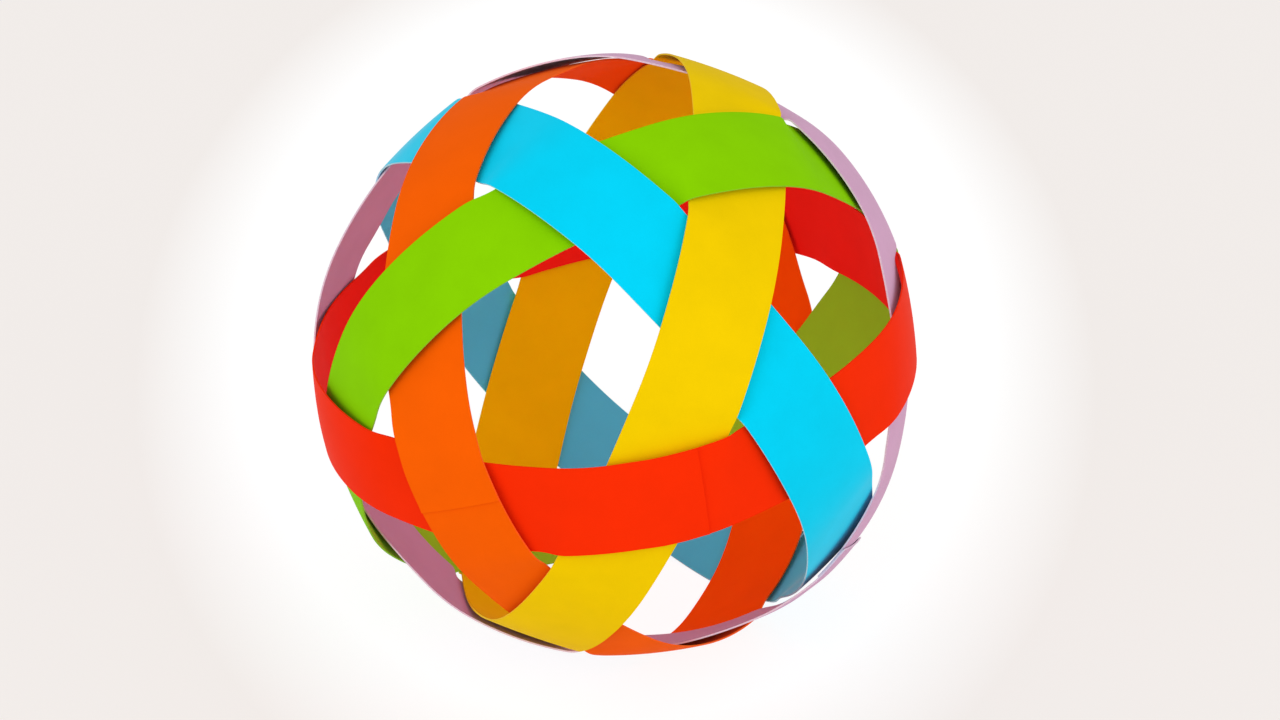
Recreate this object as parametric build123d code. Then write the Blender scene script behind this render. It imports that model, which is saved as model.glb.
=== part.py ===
from build123d import *
from collections import namedtuple
from functools import cache
from itertools import pairwise, permutations, product
from math import asin, atan2, cos, degrees, pi, sin, sqrt
import os

# A woven paper ball, in millimetres and degrees.
# Six strips of coloured card are each closed into a ring by a glued lap. They run over and
# under one another round a sphere, so that thirty crossings leave twelve five-sided windows
# and twenty small three-sided ones. The ball stands on its lowest window, +Z is up, the front
# is towards -Y, and the origin is under the middle of the ball, on the surface it stands on.

# The strips, all cut alike from the long side of a sheet. The smallest three-sided windows are
# nearly closed: strips wider than about 0.33 of the rings' radius would close them, and a ball
# of such strips can't be woven with these axes.
strip_length = 297.0
strip_width = 15.0
card_thickness = 0.25

# The glued lap that closes each ring
lap_length = 6.0
lap_slope = 5.0        # the outer layer comes down from the lap in this length

# The weave
clearance = 0.06       # gap allowed between two strips at the tightest corner of a crossing
crest_length = 16.0    # a strip keeps its distance from the centre this far along each crossing

# How finely the curves are laid out
least_span = 0.5       # degrees: a mark on a curve that is nearer to the one before is left out
slope_reach = 0.01     # degrees each way over which a curve's direction is taken
edge_steps = 8         # places each side of the middle where a crossing edge is tested
search_rounds = 4      # how often a value that depends on itself is worked out again

# Each ring's axis is given by its azimuth from +X and its incline from +Z, and the ring's middle
# lies sideways along it from the ball's centre. A perfect ball has one upright axis and five
# inclined 63.4 degrees, 72 degrees apart, all through the centre: this one was woven by hand.
# The lap lies where the ring passes over the strip named next, and its outer end is lap_past
# beyond the middle of that crossing, on the anticlockwise side seen from the axis's tip.
Ring = namedtuple("Ring", "name azimuth incline sideways lap_over lap_past")
RINGS = [
    Ring("red_ring", 178.9, 7.8, 1.05, "yellow_ring", 8.7),
    Ring("lilac_ring", -91.9, 63.6, 0.05, "blue_ring", 3.0),
    Ring("orange_ring", -17.2, 64.3, 0.0, "red_ring", 0.0),
    Ring("blue_ring", 54.1, 66.1, 0.75, "orange_ring", 3.0),
    Ring("green_ring", 128.5, 67.5, 0.3, "blue_ring", 3.0),
    Ring("yellow_ring", 196.4, 65.8, 0.3, "red_ring", 3.0),
]

# How far the ball swells out of round, as shares of its radius. What swells out on one side
# sinks in on the opposite one, so that every ring keeps its length round.
swell_right = 0.011    # out at the upper and lower right, in at the middle right
swell_back = -0.002    # the same at the back
swell_top = -0.005     # out at the top, in at the shoulders
swell_saddle = -0.022  # out at the upper left and right, in at the upper front and back
swell_three = -0.005   # out at the front and at two places behind, in between them


def swell(x, y, z):
    """How far the ball stands out of round towards a point of the unit sphere."""
    level = (5 * z * z - 1) / 2
    return (
        swell_right * x * level
        + swell_back * y * level
        + swell_top * z * (level - 1)
        + swell_saddle * z * (x * x - y * y)
        + swell_three * y * (3 * x * x - y * y)
    )


# What follows from the sizes above
ring_radius = (strip_length - lap_length) / (2 * pi)
half_width = strip_width / 2
crest_angle = degrees(crest_length / 2 / ring_radius)
lap_angle = degrees(lap_length / ring_radius)
slope_angle = degrees(lap_slope / ring_radius)


def axis_of(ring):
    """Unit vector along a ring's axis."""
    return Vector(0, 0, 1).rotate(Axis.Y, ring.incline).rotate(Axis.Z, ring.azimuth)


def over_direction(ring, other):
    """Along both rings' planes, towards where ring passes over other. Opposite, it passes under."""
    axis = axis_of(ring)
    other_axis = axis_of(other)
    side = 1 if axis.dot(other_axis) > 0 else -1
    return axis.cross(other_axis).normalized() * side


def crossing_point(ring, other, side):
    """The middle of a crossing: side is 1 where ring passes over other and -1 where under."""
    axis = axis_of(ring)
    other_axis = axis_of(other)
    lean = axis.dot(other_axis)
    foot = axis * (ring.sideways - lean * other.sideways)
    foot += other_axis * (other.sideways - lean * ring.sideways)
    foot *= 1 / (1 - lean**2)
    return foot + over_direction(ring, other) * side * sqrt(ring_radius**2 - foot.dot(foot))


@cache
def plane_of(ring):
    """The ring's middle plane, with X towards the crossing that carries its lap."""
    lap_partner = next(other for other in RINGS if other.name == ring.lap_over)
    middle = axis_of(ring) * ring.sideways
    ahead = crossing_point(ring, lap_partner, 1) - middle
    return Plane(origin=middle, x_dir=ahead, z_dir=axis_of(ring))


def angle_round(ring, way):
    """The angle of a way in the ring's plane, from 0 to 360."""
    plane = plane_of(ring)
    return degrees(atan2(way.dot(plane.y_dir), way.dot(plane.x_dir))) % 360


def base_radius(ring, angle):
    """The ring's radius at an angle, halfway between over and under."""
    plane = plane_of(ring)
    mean_point = plane.from_local_coords(Vector(ring_radius, 0).rotate(Axis.Z, angle))
    x, y, z = mean_point.normalized()
    return ring_radius * (1 + swell(x, y, z))


def crossings_of(ring):
    """The ring's ten crossings in order: the angle, and 1 where it passes over or -1 under."""
    found = []
    for other in RINGS:
        if other is ring:
            continue
        for side in (1, -1):
            found.append((angle_round(ring, crossing_point(ring, other, side)), side))
    return sorted(found)


def wave(angle, crossings):
    """The strip's place across the weave at an angle: 1 is outermost and -1 innermost."""
    last_angle, last_side = crossings[-1]
    before_angle, side = last_angle - 360, last_side
    angle = angle % 360
    for after_angle, after_side in crossings + [(crossings[0][0] + 360, crossings[0][1])]:
        if angle <= after_angle:
            break
        before_angle, side = after_angle, after_side
    share = (angle - before_angle - crest_angle) / (after_angle - before_angle - 2 * crest_angle)
    share = min(max(share, 0), 1)
    if share < 1 / 2:
        return side * (1 - 4 * share**2)
    return side * (4 * (1 - share) ** 2 - 1)


def needed_height(height):
    """Least travel each side of the mean radius that keeps the strips clear at every crossing.

    A strip is flat across, so its edges stand off the sphere. At each crossing the lower strip's
    edge is followed under the upper strip, and the two waves have to make room for it there.
    Where the edge passes depends a little on the travel itself, so a first value is given.
    """
    waves = {ring.name: crossings_of(ring) for ring in RINGS}
    needed = 0
    for upper, lower in permutations(RINGS, 2):
        over = over_direction(upper, lower)
        lean = axis_of(upper).dot(axis_of(lower))
        turn = axis_of(upper).cross(axis_of(lower)).dot(over)
        for edge_side, step in product((-1, 1), range(-edge_steps, edge_steps + 1)):
            edge = lower.sideways + half_width * edge_side
            across = upper.sideways + half_width * step / edge_steps
            lower_angle = angle_round(lower, over)
            for _ in range(search_rounds):
                level = wave(lower_angle, waves[lower.name])
                lower_radius = base_radius(lower, lower_angle) + height * level
                lower_turn = asin((across - lean * edge) / (turn * lower_radius))
                lower_angle = angle_round(lower, over) + degrees(lower_turn)
            along = lean * lower_radius * sin(lower_turn) - turn * edge
            upper_turn = atan2(along, lower_radius * cos(lower_turn))
            upper_angle = angle_round(upper, over) + degrees(upper_turn)
            rise = sqrt(base_radius(lower, lower_angle) ** 2 + edge**2 - across**2)
            rise -= base_radius(upper, upper_angle)
            room = wave(upper_angle, waves[upper.name]) - wave(lower_angle, waves[lower.name])
            needed = max(needed, (card_thickness + clearance + rise) / room)
    return needed


weave_height = 0
for _ in range(search_rounds):
    weave_height = needed_height(weave_height)


def lap_lift(angle):
    """The strip's lift at an angle along its path from the inner end, as a share of its thickness.

    It is 1 where the outer end lies on the inner end, and comes down smoothly before that.
    """
    share = (angle - (360 - slope_angle)) / slope_angle
    share = min(max(share, 0), 1)
    return share * share * (3 - 2 * share)


def joined_arcs(start, start_way, end, end_way):
    """Two arcs that leave start along start_way, meet smoothly and reach end along end_way."""
    step = end - start
    ways = start_way + end_way
    ahead = step.dot(ways)
    spread = 4 - ways.dot(ways)
    reach = (sqrt(ahead**2 + spread * step.dot(step)) - ahead) / spread
    start_corner = start + start_way * reach
    end_corner = end - end_way * reach
    meeting = (start_corner + end_corner) * 0.5
    return [
        TangentArc(start, meeting, tangent=start_way),
        TangentArc(meeting, end, tangent=end_corner - start_corner),
    ]


def face_curve(ring, start, side):
    """One face of the closed strip from start once round: side is 1 outside and -1 inside.

    It is a chain of arcs from mark to mark: the ends of each crossing, of the lap and of its
    slope. The step at the strip's end closes it.
    """
    outer_end = degrees(ring.lap_past / ring_radius)
    inner_end = outer_end - lap_angle
    crossings = crossings_of(ring)

    def point(angle):
        radius = base_radius(ring, angle) + weave_height * wave(angle, crossings)
        radius += card_thickness * (side / 2 + lap_lift(angle - inner_end))
        return Vector(radius, 0).rotate(Axis.Z, angle)

    def way(angle):
        return (point(angle + slope_reach) - point(angle - slope_reach)).normalized()

    marks = [inner_end - slope_angle, inner_end, outer_end]
    for angle, _ in crossings:
        marks += [angle - crest_angle, angle + crest_angle]
    stops = [start]
    for angle in sorted(start + (angle - start) % 360 for angle in marks):
        if stops[-1] + least_span < angle < start + 360 - least_span:
            stops.append(angle)
    arcs = []
    for first, last in pairwise([*stops, start + 360]):
        arcs += joined_arcs(point(first), way(first), point(last), way(last))
    return Wire([*arcs, Line(arcs[-1] @ 1, arcs[0] @ 0)])


def strip_ring(ring):
    """One strip, waved over and under the others and closed by its lap."""
    outer_end = degrees(ring.lap_past / ring_radius)
    outside = face_curve(ring, outer_end, 1)
    inside = face_curve(ring, outer_end - lap_angle, -1)
    band = extrude(Face(outside, [inside]), amount=half_width, both=True)
    return (plane_of(ring) * band).solid()


def standing(parts):
    """Set the parts over the origin, with the lowest of them at the height of the surface."""
    box = Compound(parts).bounding_box()
    shift = Location((-box.center().X, -box.center().Y, -box.min.Z))
    return [part.moved(shift) for part in parts]


os.makedirs("parts", exist_ok=True)
for ring, solid in zip(RINGS, standing([strip_ring(ring) for ring in RINGS])):
    export_step(solid, f"parts/{ring.name}.step")
print(f"ring radius {ring_radius:.2f}, wave height {weave_height:.3f}")
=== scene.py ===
from collections import namedtuple
from math import atan2, copysign, cos, pi, radians, sin, sqrt

import bpy
import numpy as np
from mathutils import Matrix, Vector


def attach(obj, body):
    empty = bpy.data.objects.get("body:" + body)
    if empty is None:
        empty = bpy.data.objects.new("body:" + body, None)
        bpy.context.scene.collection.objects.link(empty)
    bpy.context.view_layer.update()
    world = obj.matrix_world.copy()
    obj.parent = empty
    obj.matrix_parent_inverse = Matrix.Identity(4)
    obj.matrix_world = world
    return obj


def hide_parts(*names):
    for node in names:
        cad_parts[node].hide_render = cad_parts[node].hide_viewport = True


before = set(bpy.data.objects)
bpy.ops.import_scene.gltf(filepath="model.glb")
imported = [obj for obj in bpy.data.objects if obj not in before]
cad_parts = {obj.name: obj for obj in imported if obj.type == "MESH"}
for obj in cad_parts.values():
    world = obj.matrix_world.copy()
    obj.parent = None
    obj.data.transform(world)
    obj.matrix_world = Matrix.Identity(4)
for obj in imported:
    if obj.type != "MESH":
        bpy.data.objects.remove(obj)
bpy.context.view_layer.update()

# A woven ball of six strips of coloured card. Lengths are in metres. Angles are in degrees
# where they are set, and in radians where they are worked with.
MM = 0.001

# The strips, as they are cut and glued
STRIP_LENGTH = 297 * MM
STRIP_WIDTH = 15 * MM
CARD_THICKNESS = 0.25 * MM
LAP_LENGTH = 6 * MM
LAP_SLOPE = 5 * MM             # the outer layer comes down from the lap in this length
RING_RADIUS = (STRIP_LENGTH - LAP_LENGTH) / (2 * pi)

# The weave
CREST_LENGTH = 16 * MM         # a strip keeps its distance from the centre this far at a crossing
WEAVE_HEIGHT = 0.52 * MM       # how far out it goes over another strip, and in under one
DISH = 0.5                     # how far it bends across, as a share of the ball's roundness

# What the scissors and the glueing leave
SKEW = 0.2 * MM                # how far a strip's two ends miss each other sideways at the lap
CUT_WANDER = 0.06 * MM         # how far a cut edge strays from a straight line, in slow waves
CUT_WAVES = (2, 5, 9, 17)      # how many of each kind of wave there are along a strip
END_LIFT = 0.14 * MM           # how far the outer end stands off the lap
END_LIFT_LENGTH = 1.5 * MM     # how much of the end does

# The meshes
STEP_ALONG = 0.5 * MM
STEPS_ACROSS = 12
SHARP_ANGLE = 50               # faces that meet at a greater angle have a sharp edge

# Each ring's axis (azimuth from +X and incline from +Z), how far its middle lies along the
# axis from the ball's centre, the strip it passes over at its lap, how far its outer end lies
# past the middle of that crossing, the colour of its outer side, the colour of its inner side,
# which is painted light (shade and coloured bounce light inside the ball, set into the card's
# colour), how white its cut edges are, partly their paler core and partly a painted highlight
# where they catch the light, and how much the fibres whiten it where it is seen at a low angle
Ring = namedtuple(
    "Ring",
    "name azimuth incline sideways lap_over lap_past slot colour inner_colour white sheen",
)
RINGS = [
    Ring("red_ring", 178.9, 7.8, 1.05 * MM, "yellow_ring", 8.5 * MM,
         "red_card", (255, 46, 2), (245, 38, 28), 0.0, 0.08),
    Ring("lilac_ring", -91.9, 63.6, 0.05 * MM, "blue_ring", 3.0 * MM,
         "lilac_card", (218, 170, 203), (202, 165, 203), 0.5, 0.1),
    Ring("orange_ring", -17.2, 64.3, 0.0 * MM, "red_ring", 0.3 * MM,
         "orange_card", (255, 98, 0), (255, 92, 0), 0.02, 0.02),
    Ring("blue_ring", 54.1, 66.1, 0.75 * MM, "orange_ring", 3.0 * MM,
         "blue_card", (0, 214, 250), (84, 217, 255), 0.6, 0.35),
    Ring("green_ring", 128.5, 67.5, 0.3 * MM, "blue_ring", 3.0 * MM,
         "green_card", (138, 212, 0), (150, 225, 45), 0.05, 0.02),
    Ring("yellow_ring", 196.4, 65.8, 0.3 * MM, "red_ring", 3.0 * MM,
         "yellow_card", (246, 207, 0), (239, 207, 0), 0.05, 0.02),
]

# How each strip was left by the hand that wove it, on its way round from the middle of its
# lap's crossing: how far it sways sideways, in millimetres, and how far it twists. The first
# number is the mean, and then come the cosine and sine of one wave round, of two and so on.
SWAY = {
    "red_ring": (0.27, 0.07, 0.25, -0.61, -0.08, -0.17, 0.33),
    "lilac_ring": (0.00, 0.19, -0.21, -0.12, 0.52, -0.20, 0.48),
    "orange_ring": (-0.37, 0.35, -0.23, -0.23, 0.17, -0.14, -0.20),
    "blue_ring": (-0.01, -0.03, 0.17, 0.17, -0.11, -0.04, 0.03),
    "green_ring": (-0.06, 0.12, -0.30, -0.13, -0.13, 0.09, 0.32),
    "yellow_ring": (-0.11, -0.03, -0.05, 0.04, -0.12, 0.05, -0.06),
}
TWIST = {
    "red_ring": (-0.74, 0.39, -0.33, 1.18, -0.04),
    "lilac_ring": (0.27, -0.84, -0.24, 0.32, 0.38),
    "orange_ring": (-0.51, -0.16, 0.32, 0.03, 0.63),
    "blue_ring": (0.18, -0.03, -0.23, -0.31, 0.09),
    "green_ring": (-0.55, -0.08, -0.67, 0.70, 0.26),
    "yellow_ring": (-0.37, 0.26, 0.00, -0.29, -0.03),
}

# How far the ball swells out of round, as shares of its radius. What swells out on one side
# sinks in on the opposite one, so that every ring keeps its length round.
SWELL_RIGHT = 0.011            # out at the upper and lower right, in at the middle right
SWELL_BACK = -0.002            # the same at the back
SWELL_TOP = -0.005             # out at the top, in at the shoulders
SWELL_SADDLE = -0.022          # out at the upper left and right, in at the upper front and back
SWELL_THREE = -0.005           # out at the front and at two places behind, in between them

# The card's look. A noise has its scale, in features to the metre, its detail and roughness.
CLOUDS = (160, 3, 0.55)
CLOUD_RANGE = (0.3, 0.7)       # the values of the noise that are the darkest and lightest dye
GRAIN = (3600, 3, 0.7)
GRAIN_SHARE = 0.5              # of the dye's unevenness. The clouds have the rest.
DYE_DARKEST = 0.07             # how far the dye goes from its colour towards black,
DYE_LIGHTEST = 0.03            # and away from black
TOOTH_STRENGTH = 0.25
TOOTH_DEPTH = 0.03 * MM
CARD_ROUGHNESS = 0.7
CARD_GLOSS = 0.02
SHEEN_ROUGHNESS = 0.3
FIBRE_ENDS = (3500, 2, 0.7)    # on the cut edges
FIBRE_RANGE = (0.35, 0.65)
CUT_ROUGHNESS = 0.9
CUT_GLOSS = 0.05

# The camera looks at the ball's centre. Azimuths are from the front, and grow to the right.
CAMERA_AZIMUTH = 12.69
CAMERA_ELEVATION = 31.59
CAMERA_ROLL = -0.60
CAMERA_DISTANCE = 11.98 * RING_RADIUS
SENSOR_WIDTH = 36              # millimetres
PHOTO_WIDTH = 1280
PHOTO_HEIGHT = 720
BALL_CENTRE_X = 616.2          # pixels, where the ball's centre is in the picture
BALL_CENTRE_Y = 354.0
PIXELS_PER_RADIUS = 295.5      # at the distance of the ball's centre

# The floor and the background
FLOOR_SIZE = 6.0
WHITE = (1, 1, 1, 1)
PALE = (239, 234, 231)
POOL_BEHIND = 0.095            # how far behind the ball the middle of the painted pool of light on the floor lies
POOL_SIDE = 0.069              # half the pool's width
POOL_DEEP = 0.130              # half its length
POOL_FADE = 1.27               # where it ends, as a multiple of those
GLOW_SHARE = 0.85              # how much of the floor's look to the camera is its own glow
GLOW_STRENGTH = 1.06

# The light. A lamp has its azimuth from the camera's, its elevation and its power in watts.
SKY_STRENGTH = 0.64
LAMPS = {
    "left_lamp": (-50, 22, 3.4),
    "right_lamp": (50, 22, 3.5),
    "top_lamp": (0, 65, 1.6),
}
LAMP_DISTANCE = 1.2
LAMP_SIZE = 0.9
INNER_POWER = 0.017            # the red light that gathers in the ball and comes through its card
INNER_RADIUS = 12 * MM
INNER_COLOUR = (1, 0.06, 0.2)


# The weave

def axis_of(ring):
    """Unit vector along a ring's axis."""
    tilt = Matrix.Rotation(radians(ring.incline), 3, "Y")
    return Matrix.Rotation(radians(ring.azimuth), 3, "Z") @ tilt @ Vector((0, 0, 1))


def over_direction(ring, other):
    """Along both rings' planes, towards where ring passes over other. Opposite, it passes under."""
    axis = axis_of(ring)
    other_axis = axis_of(other)
    side = 1 if axis.dot(other_axis) > 0 else -1
    return axis.cross(other_axis).normalized() * side


def crossing_point(ring, other, side):
    """The middle of a crossing: side is 1 where ring passes over other and -1 where under."""
    axis = axis_of(ring)
    other_axis = axis_of(other)
    lean = axis.dot(other_axis)
    foot = axis * (ring.sideways - lean * other.sideways)
    foot += other_axis * (other.sideways - lean * ring.sideways)
    foot /= 1 - lean**2
    return foot + over_direction(ring, other) * side * sqrt(RING_RADIUS**2 - foot.length_squared)


def ring_frame(ring):
    """Columns: towards the crossing that carries the lap, a quarter turn on, and the axis."""
    partner = next(other for other in RINGS if other.name == ring.lap_over)
    axis = axis_of(ring)
    ahead = (crossing_point(ring, partner, 1) - axis * ring.sideways).normalized()
    return np.array([ahead, axis.cross(ahead), axis]).T


def crossings_of(ring, across):
    """The ring's ten crossings in order: the angle, and 1 where it passes over or -1 under.

    Across is a place across the strip. The other strip runs slantwise, so it shifts the angle.
    """
    found = []
    axis = axis_of(ring)
    for other in RINGS:
        if other is ring:
            continue
        lean = axis.dot(axis_of(other))
        turn = copysign(sqrt(1 - lean**2), lean)
        for side in (1, -1):
            ahead, onward, _ = np.array(crossing_point(ring, other, side)) @ ring_frame(ring)
            angle = atan2(onward, ahead) + side * lean / turn * across / RING_RADIUS
            found.append((angle % (2 * pi), side))
    return sorted(found)


def wave(angles, crossings):
    """The strip's place in the weave at some angles: 1 is outermost and -1 innermost."""
    crest = CREST_LENGTH / 2 / RING_RADIUS
    places = np.zeros_like(angles)
    turned = angles % (2 * pi)
    round_again = crossings[-1:] + crossings + crossings[:1]
    for number, (before, after) in enumerate(zip(round_again, round_again[1:])):
        start = before[0] - (2 * pi if number == 0 else 0)
        end = after[0] + (2 * pi if number == len(crossings) else 0)
        inside = (turned >= start) & (turned < end)
        share = np.clip((turned - start - crest) / (end - start - 2 * crest), 0, 1)
        shape = np.where(share < 0.5, 1 - 4 * share**2, 4 * (1 - share) ** 2 - 1)
        places[inside] = before[1] * shape[inside]
    return places


def base_radii(ring, angles):
    """The ring's radius at some angles, halfway between over and under."""
    along_axis = np.full_like(angles, ring.sideways / RING_RADIUS)
    around = np.stack([np.cos(angles), np.sin(angles), along_axis])
    x, y, z = ring_frame(ring) @ around / np.linalg.norm(around, axis=0)
    level = (5 * z * z - 1) / 2
    swell = SWELL_RIGHT * x * level + SWELL_BACK * y * level + SWELL_TOP * z * (level - 1)
    swell += SWELL_SADDLE * z * (x * x - y * y) + SWELL_THREE * y * (3 * x * x - y * y)
    return RING_RADIUS * (1 + swell)


def strip_angles(ring):
    """The angles of the strip's cross lines from its inner end on, and how far along each is.

    The last stretch, in the lap, lies on the first.
    """
    outer_end = ring.lap_past / RING_RADIUS
    inner_end = outer_end - LAP_LENGTH / RING_RADIUS
    turn = 2 * pi + outer_end - inner_end
    angles = inner_end + np.linspace(0, turn, round(turn * RING_RADIUS / STEP_ALONG) + 1)
    return angles, (angles - inner_end) * RING_RADIUS


def strayed(waves, angles):
    """A row of SWAY or TWIST at some angles: its mean and its waves round the ring."""
    total = np.full_like(angles, waves[0])
    for number, (cosine, sine) in enumerate(zip(waves[1::2], waves[2::2]), 1):
        total += cosine * np.cos(number * angles) + sine * np.sin(number * angles)
    return total


def cut_edge(travelled, chance):
    """How far one cut edge strays from straight along the strip."""
    stray = np.zeros_like(travelled)
    for waves in CUT_WAVES:
        start = chance.uniform(0, 2 * pi)
        stray += np.sin(2 * pi * waves * travelled / STRIP_LENGTH + start) / waves**0.5
    return CUT_WANDER * stray


def strip_points(ring):
    """The strip's outer and inner faces as two grids of points about the ball's centre.

    Before them come how far along the strip each cross line is, and the places across on it.
    """
    chance = np.random.default_rng(RINGS.index(ring))
    angles, travelled = strip_angles(ring)
    climb = np.clip((travelled - (2 * pi * RING_RADIUS - LAP_SLOPE)) / LAP_SLOPE, 0, 1)
    loose = np.clip(1 - (travelled[-1] - travelled) / END_LIFT_LENGTH, 0, 1)
    base = base_radii(ring, angles)
    base += CARD_THICKNESS * climb * climb * (3 - 2 * climb) + END_LIFT * loose * loose
    drift = SKEW * (travelled / travelled[-1] - 0.5)
    left = drift - STRIP_WIDTH / 2 + cut_edge(travelled, chance)
    right = drift + STRIP_WIDTH / 2 + cut_edge(travelled, chance)
    shares = np.linspace(0, 1, STEPS_ACROSS + 1)
    across = left[:, None] + (right - left)[:, None] * shares
    sideways = ring.sideways + strayed(SWAY[ring.name], angles) * MM
    twist = np.radians(strayed(TWIST[ring.name], angles))
    mean_square = STRIP_WIDTH**2 / 12
    lines = []
    for share, place in zip(shares, across.T):
        level = wave(angles, crossings_of(ring, STRIP_WIDTH * (share - 0.5)))
        sunk = DISH * (place**2 - mean_square) / (2 * RING_RADIUS)
        radii = base + WEAVE_HEIGHT * level - sunk + place * np.sin(twist)
        along_axis = sideways + place * np.cos(twist)
        line = [radii * np.cos(angles), radii * np.sin(angles), along_axis]
        lines.append(np.stack(line, axis=1))
    middle = np.stack(lines, axis=1)
    normals = np.cross(np.gradient(middle, axis=0), np.gradient(middle, axis=1))
    normals /= np.linalg.norm(normals, axis=2, keepdims=True)
    to_ball = ring_frame(ring)
    faces = [(middle + side * CARD_THICKNESS / 2 * normals) @ to_ball.T for side in (1, -1)]
    return travelled, across, faces


def ball_shift(strips):
    """Moves the ball's centre so that it stands on the floor over the origin."""
    points = np.concatenate([face.reshape(-1, 3) for _, _, faces in strips for face in faces])
    low, high = points.min(0), points.max(0)
    return np.array([-(low[0] + high[0]) / 2, -(low[1] + high[1]) / 2, -low[2]])


def placed(name, data):
    """A new object in the scene."""
    thing = bpy.data.objects.new(name, data)
    bpy.context.scene.collection.objects.link(thing)
    return thing


def strip_object(ring, points, shift):
    """One strip as a mesh of two faces and four cut edges, moved by shift onto the floor.

    Its UV map has the strip laid flat, in metres.
    """
    travelled, across, (outer, inner) = points
    rows, columns = across.shape
    corners = np.concatenate([outer.reshape(-1, 3), inner.reshape(-1, 3)]) + shift
    number = np.arange(rows * columns).reshape(rows, columns)
    under = number + rows * columns

    def quads(a, b):
        """Faces between two lines of point numbers."""
        return np.stack([a[:-1], a[1:], b[1:], b[:-1]], axis=-1).reshape(-1, 4)

    top = np.concatenate([quads(number[:, j + 1], number[:, j]) for j in range(columns - 1)])
    bottom = np.concatenate([quads(under[:, j], under[:, j + 1]) for j in range(columns - 1)])
    cuts = np.concatenate([
        quads(number[:, 0], under[:, 0]),
        quads(under[:, -1], number[:, -1]),
        quads(under[0], number[0]),
        quads(number[-1], under[-1]),
    ])
    faces = np.concatenate([top, bottom, cuts])
    sides = [0] * len(top) + [1] * len(bottom) + [2] * len(cuts)
    mesh = bpy.data.meshes.new(ring.name.replace("ring", "strip"))
    mesh.from_pydata(corners.tolist(), [], faces.tolist())
    mesh.polygons.foreach_set("use_smooth", [True] * len(faces))
    mesh.polygons.foreach_set("material_index", sides)
    mesh.set_sharp_from_angle(angle=radians(SHARP_ANGLE))
    flat = mesh.uv_layers.new(name="strip")
    places = np.stack([np.repeat(travelled, columns), across.ravel()], axis=1)
    vertices = np.zeros(len(mesh.loops), dtype=int)
    mesh.loops.foreach_get("vertex_index", vertices)
    flat.data.foreach_set("uv", places[vertices % len(places)].ravel())
    return placed(mesh.name, mesh)


# Materials

def linear(colour):
    """An sRGB colour, 0 to 255, as the linear colour that a shader takes."""
    shares = [value / 255 for value in colour]
    lights = [s / 12.92 if s <= 0.04045 else ((s + 0.055) / 1.055) ** 2.4 for s in shares]
    return (*lights, 1)


def shifted(colour, towards, share):
    """A colour moved by a share of the way towards 0 (black) or 1 (white)."""
    return tuple(min(c + (towards - c) * share, 1) for c in colour[:3]) + (1,)


def new_material(name):
    """An empty node material, with its nodes and links at hand."""
    material = bpy.data.materials.new(name)
    material.use_nodes = True
    material.node_tree.nodes.clear()
    return material, material.node_tree.nodes, material.node_tree.links


def noise(nodes, links, vector, scale, detail, roughness):
    """A noise texture on a vector. Gives its value's socket."""
    node = nodes.new("ShaderNodeTexNoise")
    node.inputs["Scale"].default_value = scale
    node.inputs["Detail"].default_value = detail
    node.inputs["Roughness"].default_value = roughness
    links.new(vector, node.inputs["Vector"])
    return node.outputs["Fac"]


def ranged(nodes, links, value, low, high, most=1):
    """A value's range from low to high as 0 to most, held within them."""
    node = nodes.new("ShaderNodeMapRange")
    node.inputs["From Min"].default_value = low
    node.inputs["From Max"].default_value = high
    node.inputs["To Min"].default_value = 0
    node.inputs["To Max"].default_value = most
    links.new(value, node.inputs["Value"])
    return node.outputs["Result"]


def tinted(nodes, links, factor, first, second):
    """A colour that runs from the first to the second with a factor."""
    node = nodes.new("ShaderNodeMix")
    node.data_type = "RGBA"
    node.inputs["A"].default_value = first
    node.inputs["B"].default_value = second
    links.new(factor, node.inputs["Factor"])
    return node.outputs["Result"]


def card_shader(nodes, links, dye, roughness, gloss):
    """The shader node of bare card in a dye."""
    card = nodes.new("ShaderNodeBsdfPrincipled")
    card.inputs["Roughness"].default_value = roughness
    card.inputs["Specular IOR Level"].default_value = gloss
    links.new(dye, card.inputs["Base Color"])
    return card


def shown(nodes, links, shader, output="ShaderNodeOutputMaterial"):
    """Link a shader's socket to the output."""
    links.new(shader, nodes.new(output).inputs["Surface"])


def card_material(name, colour, sheen):
    """One side of coloured card: an even dye with slight clouds, fine grain and a faint tooth.

    On the inner side the colour is painted light: shade and bounce light set into the dye.
    """
    material, nodes, links = new_material(name)
    spot = nodes.new("ShaderNodeTexCoord").outputs["Object"]
    clouds = ranged(nodes, links, noise(nodes, links, spot, *CLOUDS), *CLOUD_RANGE, 1 - GRAIN_SHARE)
    grain = noise(nodes, links, spot, *GRAIN)
    uneven = nodes.new("ShaderNodeMath")
    uneven.operation = "MULTIPLY_ADD"
    links.new(grain, uneven.inputs[0])
    uneven.inputs[1].default_value = GRAIN_SHARE
    links.new(clouds, uneven.inputs[2])
    darkest = shifted(colour, 0, DYE_DARKEST)
    lightest = shifted(colour, 0, -DYE_LIGHTEST)
    dye = tinted(nodes, links, uneven.outputs["Value"], darkest, lightest)

    tooth = nodes.new("ShaderNodeBump")
    tooth.inputs["Strength"].default_value = TOOTH_STRENGTH
    tooth.inputs["Distance"].default_value = TOOTH_DEPTH
    links.new(grain, tooth.inputs["Height"])

    card = card_shader(nodes, links, dye, CARD_ROUGHNESS, CARD_GLOSS)
    card.inputs["Sheen Weight"].default_value = sheen
    card.inputs["Sheen Roughness"].default_value = SHEEN_ROUGHNESS
    links.new(tooth.outputs["Normal"], card.inputs["Normal"])
    shown(nodes, links, card.outputs["BSDF"])
    return material


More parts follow.
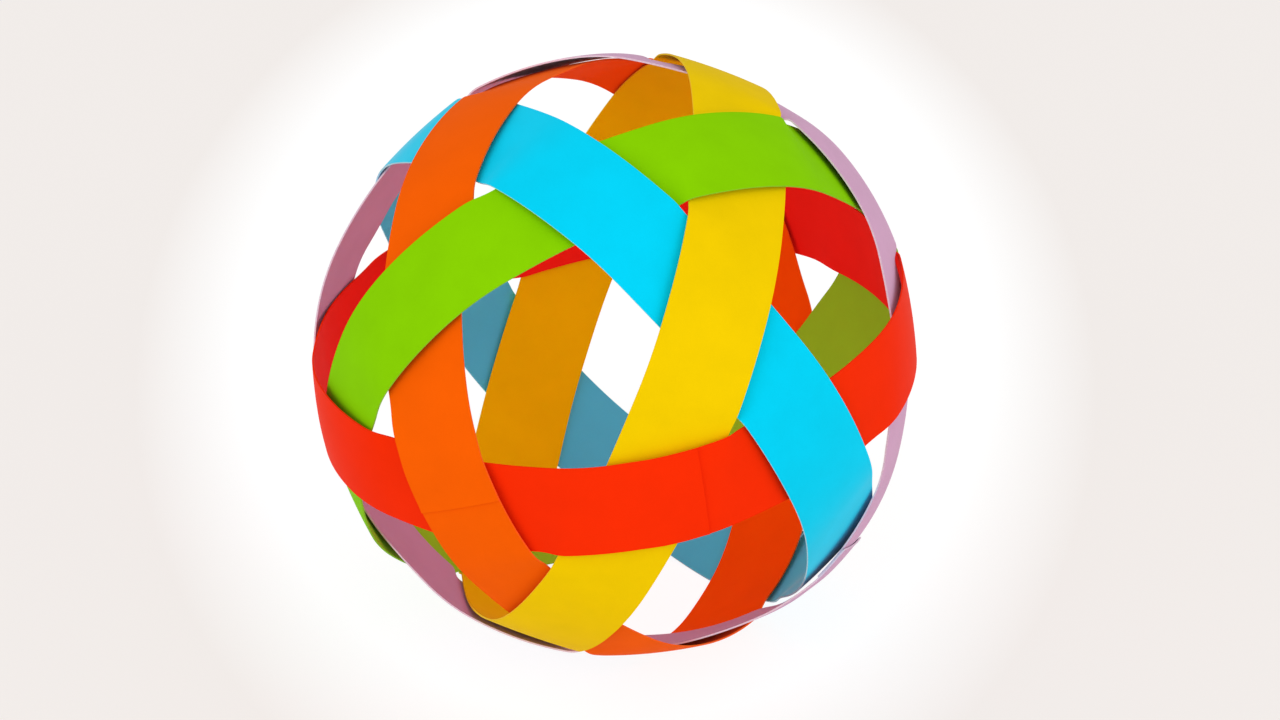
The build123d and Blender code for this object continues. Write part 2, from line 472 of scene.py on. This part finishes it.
def cut_material(name, colour, white):
    """The cut edge of the card: rough and full of fibre ends, and paler, towards white.

    The paler colour is partly the card's paler core and partly a painted highlight where the
    edge catches the light.
    """
    material, nodes, links = new_material(name)
    spot = nodes.new("ShaderNodeTexCoord").outputs["Object"]
    ends = ranged(nodes, links, noise(nodes, links, spot, *FIBRE_ENDS), *FIBRE_RANGE)
    # Painted highlight, in part: the edge is moved towards white for the card's paler core and for
    # the light the edge catches.
    dye = tinted(nodes, links, ends, shifted(colour, 1, white / 2), shifted(colour, 1, white))
    cut = card_shader(nodes, links, dye, CUT_ROUGHNESS, CUT_GLOSS)
    shown(nodes, links, cut.outputs["BSDF"])
    return material


# The pieces

strips = [strip_points(ring) for ring in RINGS]
shift = ball_shift(strips)
for ring, points in zip(RINGS, strips):
    strip = strip_object(ring, points, shift)
    # The inside material's colour is painted light: shade and coloured bounce light inside the ball
    # set into the card's colour.
    outside, inside = linear(ring.colour), linear(ring.inner_colour)
    strip.data.materials.append(card_material(ring.slot, outside, ring.sheen))
    strip.data.materials.append(card_material(ring.slot + "_inside", inside, ring.sheen))
    # The cut edges' paler colour is partly the card's core and partly a painted highlight.
    strip.data.materials.append(cut_material(ring.slot + "_cut", outside, ring.white))
    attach(strip, "root")
    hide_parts(ring.name)
ball_centre = Vector(shift)


# The floor, the light and the camera

def direction(azimuth, elevation):
    """From the ball towards a viewer."""
    across, up = radians(azimuth), radians(elevation)
    return Vector((sin(across) * cos(up), -cos(across) * cos(up), sin(up)))


def seen_directly(nodes, links):
    """1 for what the camera sees, reflections and clear things included, and 0 for light."""
    path = nodes.new("ShaderNodeLightPath")
    value = path.outputs["Is Camera Ray"]
    for other in ("Is Glossy Ray", "Is Transmission Ray"):
        both = nodes.new("ShaderNodeMath")
        both.operation = "MAXIMUM"
        links.new(value, both.inputs[0])
        links.new(path.outputs[other], both.inputs[1])
        value = both.outputs["Value"]
    return value


def floor_material():
    """A pale floor, white round the ball in a painted pool of light, that keeps the ball's soft
    shadow.
    """
    material, nodes, links = new_material("pale_floor")
    place = nodes.new("ShaderNodeTexCoord")
    pool = nodes.new("ShaderNodeMapping")
    pool.vector_type = "TEXTURE"
    pool.inputs["Location"].default_value = -direction(CAMERA_AZIMUTH, 0) * POOL_BEHIND
    pool.inputs["Rotation"].default_value = (0, 0, radians(CAMERA_AZIMUTH))
    pool.inputs["Scale"].default_value = (POOL_SIDE, POOL_DEEP, 1)
    links.new(place.outputs["Object"], pool.inputs["Vector"])
    far = nodes.new("ShaderNodeVectorMath")
    far.operation = "LENGTH"
    links.new(pool.outputs["Vector"], far.inputs[0])
    # The floor's colour is a painted pool of light, white round and behind the ball and pale beyond
    # it, and the camera sees it mostly as the floor's own glow.
    beyond = ranged(nodes, links, far.outputs["Value"], 1, POOL_FADE)
    shade = tinted(nodes, links, beyond, WHITE, linear(PALE))
    lit = nodes.new("ShaderNodeBsdfDiffuse")
    links.new(shade, lit.inputs["Color"])
    glow = nodes.new("ShaderNodeEmission")
    glow.inputs["Strength"].default_value = GLOW_STRENGTH
    links.new(shade, glow.inputs["Color"])
    share = nodes.new("ShaderNodeMath")
    share.operation = "MULTIPLY"
    links.new(seen_directly(nodes, links), share.inputs[0])
    share.inputs[1].default_value = GLOW_SHARE
    both = nodes.new("ShaderNodeMixShader")
    links.new(share.outputs["Value"], both.inputs["Fac"])
    links.new(lit.outputs["BSDF"], both.inputs[1])
    links.new(glow.outputs["Emission"], both.inputs[2])
    shown(nodes, links, both.outputs["Shader"])
    return material


def make_floor():
    """A wide pale floor under the ball."""
    half = FLOOR_SIZE / 2
    corners = [(-half, -half, 0), (half, -half, 0), (half, half, 0), (-half, half, 0)]
    mesh = bpy.data.meshes.new("floor")
    mesh.from_pydata(corners, [], [(0, 1, 2, 3)])
    mesh.materials.append(floor_material())
    floor = placed("floor", mesh)


def light_world():
    """Even soft light from all round. The camera sees the pale background instead."""
    world = bpy.data.worlds.new("studio")
    bpy.context.scene.world = world
    world.use_nodes = True
    nodes, links = world.node_tree.nodes, world.node_tree.links
    nodes.clear()
    sky = nodes.new("ShaderNodeBackground")
    sky.inputs["Color"].default_value = WHITE
    sky.inputs["Strength"].default_value = SKY_STRENGTH
    backdrop = nodes.new("ShaderNodeBackground")
    backdrop.inputs["Color"].default_value = linear(PALE)
    backdrop.inputs["Strength"].default_value = 1
    either = nodes.new("ShaderNodeMixShader")
    links.new(seen_directly(nodes, links), either.inputs["Fac"])
    links.new(sky.outputs["Background"], either.inputs[1])
    links.new(backdrop.outputs["Background"], either.inputs[2])
    shown(nodes, links, either.outputs["Shader"], "ShaderNodeOutputWorld")


def aim(thing, target, roll=0.0):
    """Turn a lamp or the camera to look at a point."""
    look = (target - thing.location).to_track_quat("-Z", "Y")
    thing.rotation_euler = (look.to_matrix() @ Matrix.Rotation(roll, 3, "Z")).to_euler()


def add_lamp(name, azimuth, elevation, power):
    """A soft square lamp that looks at the ball."""
    lamp = bpy.data.lights.new(name, "AREA")
    lamp.energy = power
    lamp.size = LAMP_SIZE
    thing = placed(name, lamp)
    thing.location = ball_centre + direction(azimuth, elevation) * LAMP_DISTANCE
    aim(thing, ball_centre)


def add_inner_light():
    """The light in the middle of the ball, which the camera doesn't see."""
    lamp = bpy.data.lights.new("inner_light", "POINT")
    lamp.energy = INNER_POWER
    lamp.color = INNER_COLOUR
    lamp.shadow_soft_size = INNER_RADIUS
    thing = placed("inner_light", lamp)
    thing.location = ball_centre
    thing.visible_camera = False


def add_camera():
    """The camera at the photograph's viewing angle."""
    lens = bpy.data.cameras.new("camera")
    lens.sensor_width = SENSOR_WIDTH
    lens.lens = PIXELS_PER_RADIUS * CAMERA_DISTANCE / RING_RADIUS / PHOTO_WIDTH * SENSOR_WIDTH
    lens.shift_x = (PHOTO_WIDTH / 2 - BALL_CENTRE_X) / PHOTO_WIDTH
    lens.shift_y = (BALL_CENTRE_Y - PHOTO_HEIGHT / 2) / PHOTO_WIDTH
    camera = placed("camera", lens)
    camera.location = ball_centre + direction(CAMERA_AZIMUTH, CAMERA_ELEVATION) * CAMERA_DISTANCE
    aim(camera, ball_centre, radians(CAMERA_ROLL))
    bpy.context.scene.camera = camera


make_floor()
light_world()
for name, (beside, elevation, power) in LAMPS.items():
    add_lamp(name, CAMERA_AZIMUTH + beside, elevation, power)
add_inner_light()
add_camera()
bpy.context.scene.view_settings.view_transform = "Standard"
